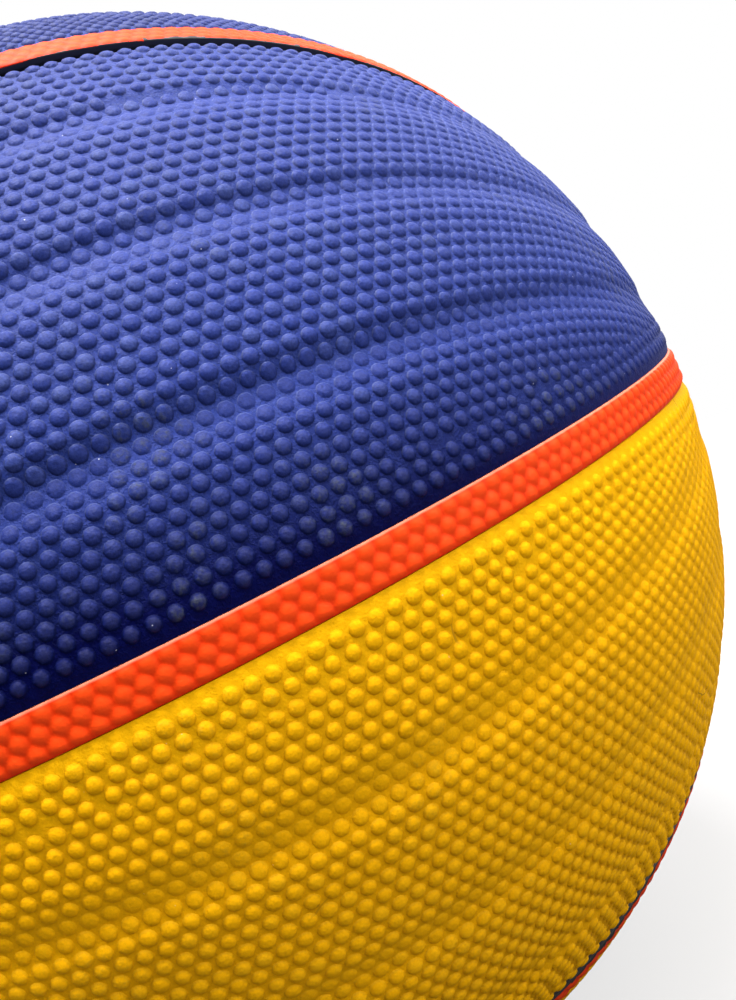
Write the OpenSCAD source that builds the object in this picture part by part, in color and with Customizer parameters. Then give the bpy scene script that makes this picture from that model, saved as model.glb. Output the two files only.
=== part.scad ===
// Basketball with a rubber cover in two colours.
// The origin is the ball's centre. +Z points to the crown of the blue half, the main seam lies in
// the plane Z = 0, the cross seam lies in the plane Y = 0, and -Y is the ball's front.
// An oval seam runs round each crown. It is where the ball meets a cylinder that lies along X.

/* [Layers] */
// Diameter of the ball over its cover
ball_d = 232; // [200:1:250]
// Thickness of the cover panels
cover_t = 1.8; // [1.4:0.1:2.6]
// Thickness of the black rubber carcass
carcass_t = 0.8; // [0.5:0.1:1.5]
// Thickness of the wound nylon thread layer
winding_t = 0.4; // [0.2:0.1:0.8]
// Thickness of the bladder's wall
bladder_t = 0.8; // [0.5:0.1:1.5]
// Thickness of the glue film between two layers
glue_t = 0.05; // [0.02:0.01:0.1]

/* [Seams] */
// Angle from the main seam to an oval seam's ends, in degrees
oval_end_angle = 26; // [23:1:30]
// Angle from the main seam to the middle of an oval seam's side, in degrees
oval_side_angle = 49; // [45:1:53]
// Width of the strips that are laid into the seams
strip_w = 6.3; // [4.5:0.1:8]
// Open gap between a strip and a panel, or between two strips
strip_gap = 0.4; // [0.2:0.05:0.8]
// Depth of a strip's top below the ball's surface
strip_drop = 0.6; // [0.3:0.1:0.9]
// Width of a strip's lowered edge
strip_edge_w = 0.7; // [0.4:0.1:1.2]
// Depth of a strip's lowered edge below its top
strip_edge_drop = 0.15; // [0.05:0.05:0.3]

/* [Panels] */
// Width of the smooth lowered rim round each panel
rim_w = 2.2; // [1:0.1:4]
// Depth of the lowered rim below the ball's surface
rim_drop = 0.35; // [0.1:0.05:0.6]
// Number of grooves along an outer panel
groove_count = 3; // [0:1:3]
// Share of an outer panel's width from one groove to the next
groove_step = 0.255; // [0.2:0.005:0.28]
// Power of the share that brings a groove's ends nearer to the main seam
groove_bend = 1.3; // [1:0.05:1.4]
// Number of grooves along a crown panel
crown_groove_count = 2; // [0:1:3]
// Width of a groove at the ball's surface
groove_w = 8; // [3:0.5:9]
// Depth of a groove at its middle
groove_depth = 0.8; // [0.2:0.05:0.9]
// Number of levels that a groove's round bottom is made of
groove_levels = 3; // [1:1:3]

/* [Valve] */
// Diameter of the channel for the pump's needle
needle_d = 2; // [1.6:0.1:2.6]
// Diameter of the self-sealing core
core_d = 5; // [4:0.1:6]
// Radial clearance between the core and the valve's body
core_fit = 0.05; // [0.02:0.01:0.1]
// Diameter of the valve's stem where it goes through the layers
stem_d = 10; // [8:0.1:13]
// Radial clearance between the stem and the layers
stem_fit = 0.1; // [0.05:0.01:0.2]
// Depth of the stem's flat face below the ball's surface
stem_drop = 0.3; // [0.2:0.05:0.6]
// Diameter of the flange inside the bladder
flange_d = 22; // [18:1:30]
// Thickness of the flange
flange_t = 1.4; // [1:0.1:2.5]
// Length of the sleeve inside the flange
sleeve_len = 9; // [6:0.5:14]
// Wall of the sleeve
sleeve_wall = 1.8; // [1.2:0.1:2.4]
// Diameter of the reinforcing patch
patch_d = 44; // [34:1:60]
// Thickness of the reinforcing patch
patch_t = 0.8; // [0.5:0.1:1.5]
// Depth of the funnel in the core's outer end
funnel_depth = 1.2; // [0.6:0.1:2]

/* [Hidden] */
$fn = 180;

// Radii of the layers, from the outside inwards
ball_r = ball_d / 2;
cover_in_r = ball_r - cover_t;
carcass_out_r = cover_in_r - glue_t;
carcass_in_r = carcass_out_r - carcass_t;
winding_out_r = carcass_in_r - glue_t;
winding_in_r = winding_out_r - winding_t;
bladder_out_r = winding_in_r - glue_t;
bladder_in_r = bladder_out_r - bladder_t;
patch_out_r = bladder_in_r - glue_t;
patch_in_r = patch_out_r - patch_t;

// Seams
channel_w = strip_w + 2 * strip_gap;
strip_top_r = ball_r - strip_drop;
strip_edge_r = strip_top_r - strip_edge_drop;
rim_r = ball_r - rim_drop;
reach = ball_d;
half_plane = 2 * reach;

// Grooves: a share of 0 is the main seam and a share of 1 is the oval seam
groove_shares = [for (i = [1:1:groove_count]) i * groove_step];
crown_half_angle = 90 - oval_side_angle;
crown_groove_step = crown_half_angle / (crown_groove_count + 1);
crown_groove_offsets = [for (i = [1:1:crown_groove_count]) ball_r * sin(i * crown_groove_step)];

// Valve: it stands midway between the first two grooves of the yellow back outer panel
valve_angle = -1.5 * groove_step * oval_side_angle;
stem_hole_d = stem_d + 2 * stem_fit;
stem_top = ball_r - stem_drop;
flange_r = flange_d / 2;
// The flange lies where the patch's inner face has curved in to the flange's rim
flange_top = sqrt(patch_in_r * patch_in_r - flange_r * flange_r) - glue_t;
flange_bottom = flange_top - flange_t;
sleeve_bottom = flange_bottom - sleeve_len;
core_hole_r = core_d / 2 + core_fit;
sleeve_r = core_hole_r + sleeve_wall;
core_top = stem_top - stem_drop / 2;
core_head_r = sleeve_r;
core_head_t = sleeve_wall;
core_bottom = sleeve_bottom - glue_t - core_head_t;
funnel_r = needle_d / 2 + funnel_depth / 2;

// Share of the way from the main seam to the oval seam, as the cylinder's place and radius
function end_height(share) = sin(pow(share, groove_bend) * oval_end_angle);
function side_height(share) = sin(share * oval_side_angle);
function axis_height(share) =
    ball_r * (1 - pow(end_height(share), 2)) / (2 * (side_height(share) - end_height(share)));
function cylinder_r(share) = axis_height(share) - ball_r * end_height(share);

// Cylinder along X that cuts the ball along the curve at a share, grown by a distance
module oval_cylinder(share, grow) {
    translate([0, 0, axis_height(share)])
        rotate([0, 90, 0])
            cylinder(r = cylinder_r(share) + grow, h = reach, center = true);
}

// Wall along the curve at a share
module oval_wall(share, width) {
    difference() {
        oval_cylinder(share, width / 2);
        oval_cylinder(share, -width / 2);
    }
}

// Flat slab across the whole ball, normal to Y
module cross_slab(width, offset = 0) {
    translate([-reach / 2, offset - width / 2, -reach / 2])
        cube([reach, width, reach]);
}

// Quarter of space above the main seam and in front of the cross seam, set back from both
module front_quarter(set_back) {
    translate([-half_plane / 2, -half_plane - set_back, set_back])
        cube([half_plane, half_plane, half_plane]);
}

// Space of an outer panel, set back from its seams
module outer_space(set_back) {
    difference() {
        front_quarter(set_back);
        oval_cylinder(1, set_back);
    }
}

// Space of a crown panel, set back from its seams
module crown_space(set_back) {
    intersection() {
        front_quarter(set_back);
        oval_cylinder(1, -set_back);
    }
}

// What is cut from the surface to leave a round-bottomed groove: each level is narrower and deeper
module groove_cut() {
    for (level = [1:1:groove_levels]) {
        part = level / groove_levels;
        difference() {
            $level_w = groove_w * sqrt(1 - pow((level - 1) / groove_levels, 2));
            children();
            sphere(r = ball_r - groove_depth * part);
        }
    }
}

// Cover panel with a lowered rim, without its grooves
module plain_panel() {
    difference() {
        union() {
            intersection() {
                sphere(r = rim_r);
                children(0);
            }
            intersection() {
                sphere(r = ball_r);
                children(1);
            }
        }
        sphere(r = cover_in_r);
    }
}

// Outer panel above the main seam and in front of the cross seam
module outer_panel() {
    difference() {
        plain_panel() {
            outer_space(channel_w / 2);
            outer_space(channel_w / 2 + rim_w);
        }
        for (share = groove_shares)
            groove_cut()
                oval_wall(share, $level_w);
    }
}

// Crown panel of the upper half, in front of the cross seam
module crown_panel() {
    difference() {
        plain_panel() {
            crown_space(channel_w / 2);
            crown_space(channel_w / 2 + rim_w);
        }
        for (offset = crown_groove_offsets)
            groove_cut()
                cross_slab($level_w, -offset);
    }
}

// Turns the valve's own axis, +Z, to its place on the ball
module at_valve() {
    rotate([valve_angle - 90, 0, 0])
        children();
}

// Hole for the valve's stem through every layer
module stem_hole() {
    at_valve()
        cylinder(d = stem_hole_d, h = reach);
}

// Spherical shell with the hole for the valve's stem
module layer(out_r, in_r) {
    difference() {
        sphere(r = out_r);
        sphere(r = in_r);
        stem_hole();
    }
}

// Half of the carcass: the two halves meet along the main seam
module carcass_half(side) {
    intersection() {
        layer(carcass_out_r, carcass_in_r);
        translate([-reach / 2, -reach / 2, side > 0 ? glue_t / 2 : -reach - glue_t / 2])
            cube([reach, reach, reach]);
    }
}

// Strip with lowered edges: the first child is its full width and the second is its raised middle
module strip() {
    difference() {
        union() {
            intersection() {
                sphere(r = strip_edge_r);
                children(0);
            }
            intersection() {
                sphere(r = strip_top_r);
                children(1);
            }
        }
        sphere(r = cover_in_r);
    }
}

// Straight-sided stretch of the main seam's strip
module main_slab(width) {
    cube([reach, reach, width], center = true);
}

module main_strip() {
    strip() {
        main_slab(strip_w);
        main_slab(strip_w - 2 * strip_edge_w);
    }
}

module oval_strip() {
    strip() {
        oval_wall(1, strip_w);
        oval_wall(1, strip_w - 2 * strip_edge_w);
    }
}

// Cross seam's strip over the crown, from one end of the oval seam to the other
module crown_strip() {
    strip() {
        intersection() {
            cross_slab(strip_w);
            oval_cylinder(1, -channel_w / 2);
        }
        intersection() {
            cross_slab(strip_w - 2 * strip_edge_w);
            oval_cylinder(1, -channel_w / 2);
        }
    }
}

// Space between the main seam and the oval seam, on the +X side and above
module side_space(width) {
    difference() {
        translate([0, -width / 2, channel_w / 2])
            cube([reach, width, reach]);
        oval_cylinder(1, channel_w / 2);
    }
}

// Cross seam's strip between the main seam and the oval seam
module side_strip() {
    strip() {
        side_space(strip_w);
        side_space(strip_w - 2 * strip_edge_w);
    }
}

module to_back() {
    mirror([0, 1, 0])
        children();
}

module to_lower() {
    mirror([0, 0, 1])
        children();
}

module to_left() {
    mirror([1, 0, 0])
        children();
}

module bladder() {
    color("dimgray")
        layer(bladder_out_r, bladder_in_r);
}

// Cap-shaped patch that spreads the valve's load over the bladder
module valve_patch() {
    color("gray")
        difference() {
            intersection() {
                sphere(r = patch_out_r);
                at_valve()
                    cylinder(d = patch_d, h = reach);
            }
            sphere(r = patch_in_r);
            stem_hole();
        }
}

// Stem, flange and sleeve, moulded in one, with a hole for the core
module valve_body() {
    color("black")
        at_valve()
            difference() {
                union() {
                    translate([0, 0, flange_bottom])
                        cylinder(d = stem_d, h = stem_top - flange_bottom);
                    translate([0, 0, flange_bottom])
                        cylinder(r = flange_r, h = flange_t);
                    translate([0, 0, sleeve_bottom])
                        cylinder(r = sleeve_r, h = sleeve_len + flange_t);
                }
                translate([0, 0, sleeve_bottom - flange_t])
                    cylinder(r = core_hole_r, h = reach);
            }
}

// Self-sealing plug with a head under the sleeve and a funnel that guides the needle
module valve_core() {
    color("darkslategray")
        at_valve()
            difference() {
                union() {
                    translate([0, 0, core_bottom])
                        cylinder(d = core_d, h = core_top - core_bottom);
                    translate([0, 0, core_bottom])
                        cylinder(r = core_head_r, h = core_head_t);
                }
                translate([0, 0, core_bottom - core_head_t])
                    cylinder(d = needle_d, h = reach);
                translate([0, 0, core_top - funnel_depth])
                    cylinder(r1 = needle_d / 2, r2 = funnel_r, h = funnel_depth);
            }
}

module thread_winding() {
    color("ivory")
        layer(winding_out_r, winding_in_r);
}

module upper_carcass_half() {
    color([0.07, 0.07, 0.08])
        carcass_half(1);
}

module lower_carcass_half() {
    color([0.07, 0.07, 0.08])
        carcass_half(-1);
}

module blue_front_outer_panel() {
    color([0.16, 0.22, 0.42])
        outer_panel();
}

module blue_back_outer_panel() {
    color([0.16, 0.22, 0.42])
        to_back() outer_panel();
}

module blue_front_crown_panel() {
    color([0.16, 0.22, 0.42])
        crown_panel();
}

module blue_back_crown_panel() {
    color([0.16, 0.22, 0.42])
        to_back() crown_panel();
}

module yellow_front_outer_panel() {
    color([0.93, 0.72, 0.16])
        to_lower() outer_panel();
}

module yellow_back_outer_panel() {
    color([0.93, 0.72, 0.16])
        difference() {
            to_lower() to_back() outer_panel();
            stem_hole();
        }
}

module yellow_front_crown_panel() {
    color([0.93, 0.72, 0.16])
        to_lower() crown_panel();
}

module yellow_back_crown_panel() {
    color([0.93, 0.72, 0.16])
        to_lower() to_back() crown_panel();
}

module main_seam_strip() {
    color([0.9, 0.35, 0.15])
        main_strip();
}

module upper_oval_strip() {
    color([0.9, 0.35, 0.15])
        oval_strip();
}

module lower_oval_strip() {
    color([0.9, 0.35, 0.15])
        to_lower() oval_strip();
}

module upper_crown_strip() {
    color([0.9, 0.35, 0.15])
        crown_strip();
}

module lower_crown_strip() {
    color([0.9, 0.35, 0.15])
        to_lower() crown_strip();
}

module upper_right_strip() {
    color([0.9, 0.35, 0.15])
        side_strip();
}

module upper_left_strip() {
    color([0.9, 0.35, 0.15])
        to_left() side_strip();
}

module lower_right_strip() {
    color([0.9, 0.35, 0.15])
        to_lower() side_strip();
}

module lower_left_strip() {
    color([0.9, 0.35, 0.15])
        to_lower() to_left() side_strip();
}

bladder();
valve_patch();
valve_body();
valve_core();
thread_winding();
upper_carcass_half();
lower_carcass_half();
blue_front_outer_panel();
blue_back_outer_panel();
blue_front_crown_panel();
blue_back_crown_panel();
yellow_front_outer_panel();
yellow_back_outer_panel();
yellow_front_crown_panel();
yellow_back_crown_panel();
main_seam_strip();
upper_oval_strip();
lower_oval_strip();
upper_crown_strip();
lower_crown_strip();
upper_right_strip();
upper_left_strip();
lower_right_strip();
lower_left_strip();
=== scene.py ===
import math

import bpy
import numpy as np
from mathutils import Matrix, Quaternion, Vector
from mathutils.geometry import delaunay_2d_cdt


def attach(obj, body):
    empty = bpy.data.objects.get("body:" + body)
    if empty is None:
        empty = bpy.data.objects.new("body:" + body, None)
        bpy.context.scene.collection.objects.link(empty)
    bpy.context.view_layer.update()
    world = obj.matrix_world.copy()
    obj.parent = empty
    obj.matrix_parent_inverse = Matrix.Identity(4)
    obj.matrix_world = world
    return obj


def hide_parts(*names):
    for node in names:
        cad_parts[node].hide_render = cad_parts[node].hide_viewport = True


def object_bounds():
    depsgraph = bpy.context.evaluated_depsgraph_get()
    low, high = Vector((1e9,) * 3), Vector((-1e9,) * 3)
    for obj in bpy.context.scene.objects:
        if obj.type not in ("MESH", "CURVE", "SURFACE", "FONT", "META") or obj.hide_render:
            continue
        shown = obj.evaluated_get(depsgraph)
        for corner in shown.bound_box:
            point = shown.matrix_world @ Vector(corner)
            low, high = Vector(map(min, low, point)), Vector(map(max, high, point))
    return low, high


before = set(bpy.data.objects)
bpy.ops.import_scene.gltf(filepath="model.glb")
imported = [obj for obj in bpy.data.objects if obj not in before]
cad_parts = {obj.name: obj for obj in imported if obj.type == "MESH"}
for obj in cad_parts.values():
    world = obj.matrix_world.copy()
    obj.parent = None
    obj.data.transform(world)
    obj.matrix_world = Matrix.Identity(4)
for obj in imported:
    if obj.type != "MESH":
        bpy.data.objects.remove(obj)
cadBox = [list(corner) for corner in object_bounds()]
print("frame loaded,", len(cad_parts), "solids")

mm = 0.001  # lengths below are in millimetres, meshes are in metres

# the ball and its seams, as the solids have them
ball = {
    "radius": 116.0,  # over the pebbles
    "coverDepth": 1.8,
    "ovalEnd": 26.0,  # degrees from the main seam to an oval seam's ends
    "ovalSide": 49.0,  # and to the middle of its sides
    "stripWidth": 6.3,
    "grooveBend": 1.3,  # power of the share by which grooves come down towards the ends
    "grooveStep": 0.255,  # share of an outer panel's width from one of the solids' grooves to the next
}
ballR = ball["radius"]
innerR = ballR - ball["coverDepth"]
stripHalf = ball["stripWidth"] / 2

# how far each side of a seam's channel is from its middle; rubber shows black beside the oval strips
channel = {"main": 3.25, "cross": 3.27, "ovalOuter": 4.8, "ovalCrown": 3.25}

curveSteps = 3001  # points of a curve before anything is laid along it
rowShare = 0.866  # from one row of pebbles to the next, as a share of their pitch


# cylinder along X that cuts the ball at a share of the way from the main seam to the oval seam:
# axis height R(1 - u^2) / 2(t - u), radius axis height - uR, u and t the sines of the end and side angles
def ovalCylinder(share):
    low = math.sin(math.radians(share ** ball["grooveBend"] * ball["ovalEnd"]))
    high = math.sin(math.radians(share * ball["ovalSide"]))
    axis = (1 - low * low) / (2 * (high - low))
    return axis * ballR, (axis - low) * ballR


# points of the oval curve grown by a distance, at given longitudes: the sine m of the latitude solves
# m^2 sin^2(lon) - 2am + a^2 + cos^2(lon) - r^2 = 0, a and r the cylinder's axis height and radius
def ovalPoints(lon, grow):
    axis, radius = ovalCylinder(1.0)
    a, r = axis / ballR, (radius + grow) / ballR
    rest = a * a + np.cos(lon) ** 2 - r * r
    m = rest / (a + np.sqrt(a * a - np.sin(lon) ** 2 * rest))
    flat = np.sqrt(1 - m * m)
    return np.stack([flat * np.sin(lon), -flat * np.cos(lon), m], -1)


# distances from the channels' edges, for unit vectors of the upper front quarter: R times the arc sine of a
# coordinate beside the main and cross seams, the distance from the cylinder's face beside an oval seam
def mainGap(n):
    return ballR * np.arcsin(n[:, 2]) - channel["main"]


def crossGap(n):
    return ballR * np.arcsin(-n[:, 1]) - channel["cross"]


def ovalGap(n, share=1.0):
    axis, radius = ovalCylinder(share)
    return np.hypot(ballR * n[:, 2] - axis, ballR * n[:, 1]) - radius


def outerOvalGap(n):
    return ovalGap(n) - channel["ovalOuter"]


def crownOvalGap(n):
    return -ovalGap(n) - channel["ovalCrown"]


# curves at an inset from each channel edge: circles, or the oval curve grown or shrunk
def mainCurve(inset):
    lat = (channel["main"] + inset) / ballR
    lon = np.linspace(-math.pi / 2, math.pi / 2, curveSteps)
    flat = math.cos(lat)
    return np.stack([flat * np.sin(lon), -flat * np.cos(lon), 0 * lon + math.sin(lat)], -1)


def crossCurve(inset):
    lat = (channel["cross"] + inset) / ballR
    turn = np.linspace(0, math.pi, curveSteps)
    flat = math.cos(lat)
    return np.stack([flat * np.cos(turn), 0 * turn - math.sin(lat), flat * np.sin(turn)], -1)


def outerOvalCurve(inset):
    return ovalPoints(np.linspace(math.pi / 2, -math.pi / 2, curveSteps), channel["ovalOuter"] + inset)


def crownOvalCurve(inset):
    return ovalPoints(np.linspace(-math.pi / 2, math.pi / 2, curveSteps), -channel["ovalCrown"] - inset)


def unit(v):
    return v / np.linalg.norm(v, axis=-1, keepdims=True)


# length along the ball between two directions, from the cosine of their angle
def arc(cosine):
    return np.arccos(np.clip(cosine, -1, 1)) * ballR


# length along a curve on the ball up to each of its points
def runLength(curve):
    return np.concatenate([[0], np.cumsum(np.linalg.norm(np.diff(curve, axis=0), axis=1))]) * ballR


# points along a curve on the ball, at the distances that a function of its whole length gives
def walkCurve(curve, places):
    length = runLength(curve)
    where = places(length[-1])
    return unit(np.stack([np.interp(where, length, curve[:, c]) for c in range(3)], -1))


# places of a row's pebbles: whole numbers of pitches, moved by a phase and by each pebble's own stray
def rowPlaces(pitch, phase, stray):
    def places(length):
        count = int(length / pitch)
        return (np.arange(count) + phase + stray[:count]) * pitch
    return places


# places of plain points: the length cut into equal steps
def evenPlaces(step):
    def places(length):
        count = round(length / step)
        return np.arange(count) / count * length
    return places


# the two kinds of cover panel, built in the upper front quarter and mirrored to their places
panelKinds = {
    "outer": {
        "walls": [mainGap, outerOvalGap, crossGap],
        "rows": [mainCurve, outerOvalCurve],
        "middle": (0.0, -0.87, 0.49),  # direction of the panel's middle
        "pitch": (2.8, 2.78),  # from pebble to pebble beside each of the two long walls
        "leastPitch": 0.9,  # share of it that is left at the panel's ends
        "edgeRowCount": (2, 6),  # rows along each of the two long walls
        "straight": True,  # straight rows fill what is left between them
        "rimDrop": (0.35, 0.9, 0.4),  # by which the ground comes down at each wall
        "firstRow": (2.5, 2.0, 2.3),  # from each wall to the middle of the first row of pebbles
        "grooveShares": (0.266, 0.524, 0.767),  # of the way from the main seam to the oval seam
        "grooveTurns": (),
        "grooveDepth": (1.05, 0.95, 0.85),
    },
    "crown": {
        "walls": [crossGap, crownOvalGap],
        "rows": [crossCurve, crownOvalCurve],
        "middle": (0.0, -0.4, 0.92),
        "pitch": (2.64, 2.54),
        "leastPitch": 1.0,
        "edgeRowCount": (30, 30),  # more than there is room for
        "straight": False,
        "rimDrop": (0.4, 0.4),
        "firstRow": (2.3, 2.1),
        "grooveShares": (),
        "grooveTurns": (13.667, 27.333),  # degrees in front of the cross seam
        "grooveDepth": (0.9, 0.9),
    },
}

# what every panel's surface has
cover = {
    "pebbleShare": 0.435,  # a pebble's radius as a share of the pitch
    "pebbleSpread": 0.05,  # share by which a pebble's radius varies
    "pebbleHeight": 0.45,
    "rings": (1.0, 0.82, 0.4),  # rings of a pebble, as shares d of its radius; it stands 1 - d^5 high there
    "rimWidth": 2.2,
    "seamShade": 17.0,  # reach of the painted shade beside the main seam
    "shadeFall": 0.55,  # share by which the painted shade is darker at one end of a panel and lighter at the other
    # painted shade of every crown panel, even all over
    "crownShade": 0.36,
    "grooveHalf": (3.7, 7.0),  # away from the main seam, where a groove is steeper, and towards it
    "grooveFade": 0.5,  # share of a groove's depth that is lost towards the ends
    "grooveEnd": (0.2, 0.5),  # where along x, in ball radii, that starts and how far it takes
    "flatten": 0.5,  # how much lower pebbles stand beside a groove's middle
    "flattenHalf": (3.3, 3.3),
    "flattenShift": 2.2,  # towards the main seam
    "leastKept": 0.2,  # share of its height that a pebble keeps beside any groove
    "endFlatten": 0.62,  # and at the panel's ends
    "flattenEnd": (0.3, 0.4),
    "rowStray": 0.025,  # spread of the pebbles' places in the straight rows, in pitches
    "edgeStray": 0.05,  # and in the rows along the walls
    "phaseStray": 0.35,  # most that a row along a wall is shifted
    "pictureReach": 1.8,  # of the flat picture that the straight rows are laid out in, in radians
    "pictureBend": 0.03,
    "squeezed": 0.86,  # pebbles nearer than this share of the pitch are taken out
    "tooFar": 0.8,  # a gap whose middle is further than this share from the pebbles round it gets one
    "fillClosest": 0.6,  # unless it would be nearer than this
    "fillRounds": 3,
    "seedClosest": 0.8,  # pebbles laid out nearer than this share of the pitch are dropped
    "seedSlack": 0.3,  # by which they may stand too near a wall
    "fillSlack": 0.2,
    "rowOverlap": 0.4,  # share of a row by which the straight rows run into the others
    "pushSearch": 1.1,  # pitches within which neighbours are looked for
    "pushReach": 0.53,  # share of two pebbles' pitches within which they push each other
    "pushStep": 0.4,
    "mostReach": (0.49, 0.9),  # most of the way to the next pebble or plain point that a radius takes
    "cornerReach": 0.72,  # and of the way across a net triangle
    "seed": 7,
    "edgeRows": (0.0, 0.3),  # insets of the plain points along the edge
    "edgeStep": 2.0,
    "edgeSlack": 0.002,
    "relaxRounds": 30,
}
valve = {
    "angle": 1.5 * ball["grooveStep"] * ball["ovalSide"],  # degrees below the main seam, on the back
    "holeRadius": 5.1,
    "ringSteps": (0.0, 0.4, 1.2),  # of the rings of points round the hole, outwards from its edge
    "ringPoints": 40,
    "smoothRadius": 7.8,
    "clearShare": 0.9,  # of the hole's radius, within which no net triangle has its middle
}


# how far the ground has come down towards a channel: the largest of drop (1 - gap / rim width)^2
def rimDepth(kind, n):
    shares = [1 - np.clip(wall(n) / cover["rimWidth"], 0, 1) for wall in kind["walls"]]
    return np.max([drop * share ** 2 for drop, share in zip(kind["rimDrop"], shares)], axis=0)


# how much painted shade the rubber gets: exp(-gap / reach) beside the main seam, times 1 less a share of the
# longitude's sine; a crown panel has one even painted shade
def paintedSeamShade(kind, n):
    if mainGap not in kind["walls"]:
        return np.full(len(n), cover["crownShade"])
    along = 1.0 - cover["shadeFall"] * n[:, 0] / np.hypot(n[:, 0], n[:, 1])
    return along * np.exp(-mainGap(n) / cover["seamShade"])


# 0 in a panel's middle and 1 at its ends, even between the two in the size of x
def endShare(n, start, width):
    return np.clip((np.abs(n[:, 0]) - start) / width, 0, 1)


# distances from the middles of the grooves
def grooveGaps(kind, n):
    gaps = [ovalGap(n, share) for share in kind["grooveShares"]]
    return gaps + [ballR * (np.arcsin(-n[:, 1]) - math.radians(turn)) for turn in kind["grooveTurns"]]


# sum over the grooves of a raised cosine across each one, lower towards the panel's ends
def grooveSum(kind, n, heights, halves, shift=0.0):
    total = 0
    for high, gap in zip(heights, grooveGaps(kind, n)):
        across = np.clip(np.maximum((shift - gap) / halves[0], (gap - shift) / halves[1]), 0, 1)
        total = total + high * (0.5 + 0.5 * np.cos(math.pi * across))
    return total * (1 - cover["grooveFade"] * endShare(n, *cover["grooveEnd"]))


# depth of the grooves: the sum with each groove's own depth
def valley(kind, n):
    return grooveSum(kind, n, kind["grooveDepth"], cover["grooveHalf"])


# share of its height that a pebble keeps: 1 less the sum with the flattening, and less at the panel's ends
def kept(kind, n):
    heights = [cover["flatten"]] * len(kind["grooveDepth"])
    low = grooveSum(kind, n, heights, cover["flattenHalf"], cover["flattenShift"])
    beside = np.clip(1 - low, cover["leastKept"], 1)
    return beside * (1 - cover["endFlatten"] * endShare(n, *cover["flattenEnd"]))


# radius of the ground between the pebbles: the ball's, less the pebbles' height, the rim and the grooves
def groundRadius(kind, n, deep):
    top = ballR - cover["pebbleHeight"]
    return top - rimDepth(kind, n) - valley(kind, n) * deep


# pitch of the pebbles, changing evenly from one long wall to the other, and falling away from the panel's
# middle as cos^2 of half the angle from it
def pebblePitch(kind, n):
    first, second = (np.clip(wall(n), 0, None) for wall in kind["walls"][:2])
    pitch = kind["pitch"][0] + (kind["pitch"][1] - kind["pitch"][0]) * first / (first + second + 1e-6)
    return pitch * np.clip(0.5 + 0.5 * n @ unit(np.array(kind["middle"])), kind["leastPitch"], 1)


# straight rows in a flat picture of the panel, laid on the ball from its middle: the angle from the middle
# is q(1 - bend q^2), q the distance in the picture; the lowest row is level with the first one at the seam
def straightRows(kind, rng):
    w, u = unit(np.array(kind["middle"])), np.array((1.0, 0.0, 0.0))
    pitch = kind["pitch"][0] / ballR
    j, i = np.mgrid[-12:30, -50:51]  # more rows and places than the panel has room for
    x = (i + 0.5 * (j % 2) + rng.normal(0, cover["rowStray"], i.shape)).ravel() * pitch
    low = (channel["main"] + kind["firstRow"][0]) / ballR - math.asin(w[2])
    y = (j + rng.normal(0, cover["rowStray"], j.shape)).ravel() * rowShare * pitch + low
    inside = np.hypot(x, y) < cover["pictureReach"]
    x, y = x[inside], y[inside]
    q = np.hypot(x, y)
    angle = q * (1 - cover["pictureBend"] * q * q)
    flat = unit(x[:, None] * u + y[:, None] * np.cross(w, u))
    n = w * np.cos(angle)[:, None] + flat * np.sin(angle)[:, None]
    rowStep = rowShare * kind["pitch"][0]
    taken = zip(kind["walls"], kind["firstRow"], (*kind["edgeRowCount"], 0))
    room = [wall(n) - first - count * rowStep for wall, first, count in taken]
    return n[np.min(room, axis=0) > -cover["rowOverlap"] * rowStep]


# pairs of points nearer than a distance: the product of two unit vectors is about 1 - angle^2 / 2
def closePairs(n, distance):
    return np.nonzero(n @ n.T > 1 - 0.5 * (distance / ballR) ** 2)


# rows of pebbles along both long edges, each kept to its own half of the panel; every other row is moved by
# half a pitch, and the phase strays more from row to row
def pebbleSeeds(kind, seed):
    walls, rng = kind["walls"], np.random.default_rng(seed)
    found = []
    for side in (0, 1):
        pitch = kind["pitch"][side]
        for row in range(kind["edgeRowCount"][side]):
            curve = kind["rows"][side](kind["firstRow"][side] + row * pitch * rowShare)
            if not np.all(np.isfinite(curve)):
                break
            phase = 0.25 + 0.5 * (row % 2) + cover["phaseStray"] * rng.uniform(-1, 1) * min(1, row / 3)
            stray = rng.normal(0, cover["edgeStray"], 600)  # for more pebbles than any row has
            n = walkCurve(curve, rowPlaces(pitch, phase, stray))
            gaps = [wall(n) - first for wall, first in zip(walls, kind["firstRow"])]
            own, other = gaps[side], gaps[1 - side]
            nearer = own < other if side else own <= other
            found.append(n[(np.min(gaps, axis=0) > -cover["seedSlack"]) & nearer])
    if kind["straight"]:
        found.append(straightRows(kind, rng))
    n = np.concatenate(found)
    i, j = closePairs(n, cover["seedClosest"] * kind["pitch"][1])
    return np.delete(n, j[i < j], axis=0)


# pebbles push their neighbours apart and keep off the edges, so the two families of rows knit together
def relaxed(kind, n):
    for turn in range(cover["relaxRounds"]):
        i, j = closePairs(n, cover["pushSearch"] * max(kind["pitch"]))
        i, j = i[i != j], j[i != j]
        apart = n[i] - n[j]
        far = np.linalg.norm(apart, axis=1) * ballR
        pitch = pebblePitch(kind, n)
        reach = cover["pushReach"] * (pitch[i] + pitch[j])
        push = apart / far[:, None] * np.clip(1 - far / reach, 0, 1)[:, None]
        move = np.stack([np.bincount(i, push[:, c], len(n)) for c in range(3)], -1)
        n = unit(n + move * cover["pushStep"] * pitch[:, None] / ballR)
        for wall, first in zip(kind["walls"], kind["firstRow"]):
            short = np.clip(first - wall(n), 0, None)
            step = 1e-5
            slope = np.stack([(wall(unit(n + step * e)) - wall(n)) / step for e in np.eye(3)], -1)
            n = unit(n + slope / (slope ** 2).sum(1, keepdims=True) * short[:, None])
    return n


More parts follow.
